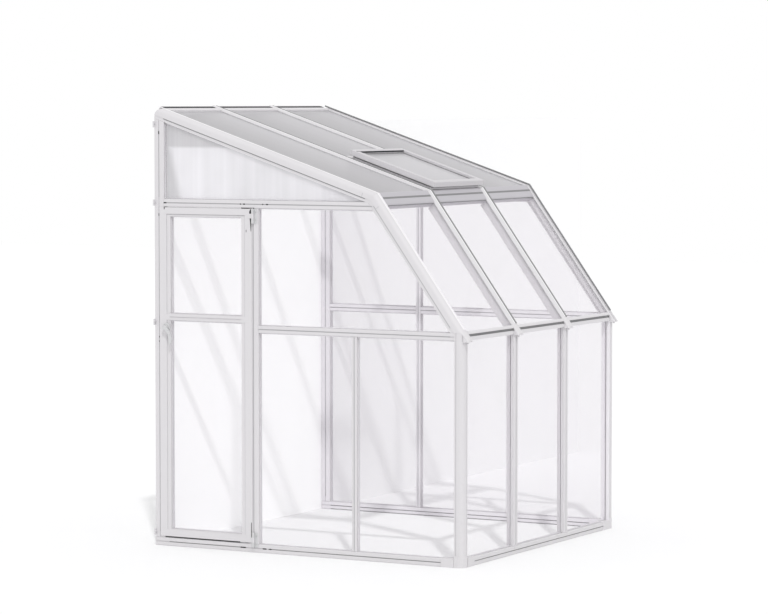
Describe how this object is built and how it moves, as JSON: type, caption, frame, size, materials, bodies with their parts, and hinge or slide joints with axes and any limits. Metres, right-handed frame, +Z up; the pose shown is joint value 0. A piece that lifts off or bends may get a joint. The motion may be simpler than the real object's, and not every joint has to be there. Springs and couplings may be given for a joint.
{
  "type": "lean-to greenhouse",
  "caption": "White resin lean-to greenhouse that stands against a house wall, with clear panes, twin-wall roof sheets, a hinged side door and a hinged roof vent.",
  "frame": {"origin": "on the ground, in the middle of the box round the whole greenhouse", "axes": "+Z up; +Y towards the house wall, so -Y is the front with the eave; -X is the gable with the door"},
  "size_m": [1.9718, 1.99, 2.4862],
  "materials": {
    "white_frame": "satin extruded white resin",
    "clear_pane": "clear, smooth",
    "twin_wall_sheet": "translucent twin-wall sheet with flutes",
    "moulded_fitting": "white moulded fitting",
    "steel_fitting": "bare zinc-plated steel"
  },
  "bodies": {
    "greenhouse": {"base_rail_front": "white_frame", "base_rail_left": "white_frame", "base_rail_right": "white_frame", "bend_beam": "white_frame", "corner_post_left": "white_frame", "corner_post_right": "white_frame", "door_hinge_lower": "moulded_fitting", "door_hinge_upper": "moulded_fitting", "door_post": "white_frame", "eave_beam": "white_frame", "front_pane_1": "clear_pane", "front_pane_2": "clear_pane", "front_pane_3": "clear_pane", "front_post_1": "white_frame", "front_post_2": "white_frame", "gable_sheet_left": "twin_wall_sheet", "gable_sheet_right": "twin_wall_sheet", "gable_stud_left": "white_frame", "gable_stud_right_front": "white_frame", "gable_stud_right_rear": "white_frame", "header_left": "white_frame", "header_right": "white_frame", "low_pane_front_left": "clear_pane", "low_pane_front_right": "clear_pane", "low_pane_middle_left": "clear_pane", "low_pane_middle_right": "clear_pane", "low_pane_rear_right": "clear_pane", "mid_rail_left": "white_frame", "mid_rail_right_front": "white_frame", "mid_rail_right_rear": "white_frame", "ridge_plate": "white_frame", "roof_rafter_1": "white_frame", "roof_rafter_2": "white_frame", "roof_rafter_3": "white_frame", "roof_rafter_4": "white_frame", "roof_sheet_1": "twin_wall_sheet", "roof_sheet_2": "twin_wall_sheet", "roof_sheet_3": "twin_wall_sheet", "slope_pane_1": "clear_pane", "slope_pane_2": "clear_pane", "slope_pane_3": "clear_pane", "slope_rafter_1": "white_frame", "slope_rafter_2": "white_frame", "slope_rafter_3": "white_frame", "slope_rafter_4": "white_frame", "tall_pane_front_left": "clear_pane", "tall_pane_front_right": "clear_pane", "tall_pane_rear_right": "clear_pane", "vent_header": "white_frame", "wall_post_left": "white_frame", "wall_post_right": "white_frame"},
    "door": {"door_frame": "white_frame", "door_pane_upper": "clear_pane", "door_pane_lower": "clear_pane", "handle_rose": "moulded_fitting"},
    "handle": {"handle_lever": "moulded_fitting", "latch_tongue": "steel_fitting"},
    "vent": {"vent_frame": "white_frame", "vent_sheet": "twin_wall_sheet"},
    "stay": {"vent_stay": "steel_fitting"}
  },
  "joints": [
    {"name": "door_hinge", "type": "hinge", "parent": "greenhouse", "child": "door", "pos_m": [-0.95935, 0.345, 0.9], "axis": [0, 0, 1], "range_deg": [0, 110]},
    {"name": "handle_turn", "type": "hinge", "parent": "door", "child": "handle", "pos_m": [-0.97005, 0.913, 1.241], "axis": [-1, 0, 0], "range_deg": [0, 90]},
    {"name": "vent_hinge", "type": "hinge", "parent": "greenhouse", "child": "vent", "pos_m": [0.00995, 0.11112, 2.21496], "axis": [-1, 0, 0], "range_deg": [0, 24]},
    {"name": "stay_hinge", "type": "hinge", "parent": "vent", "child": "stay", "pos_m": [0.00995, -0.34525, 2.02134], "axis": [-1, 0, 0], "range_deg": [0, 74.8]}
  ],
  "couplings": [
    {"joint": "stay_hinge", "follows": "vent_hinge", "ratio": 3.1152}
  ]
}
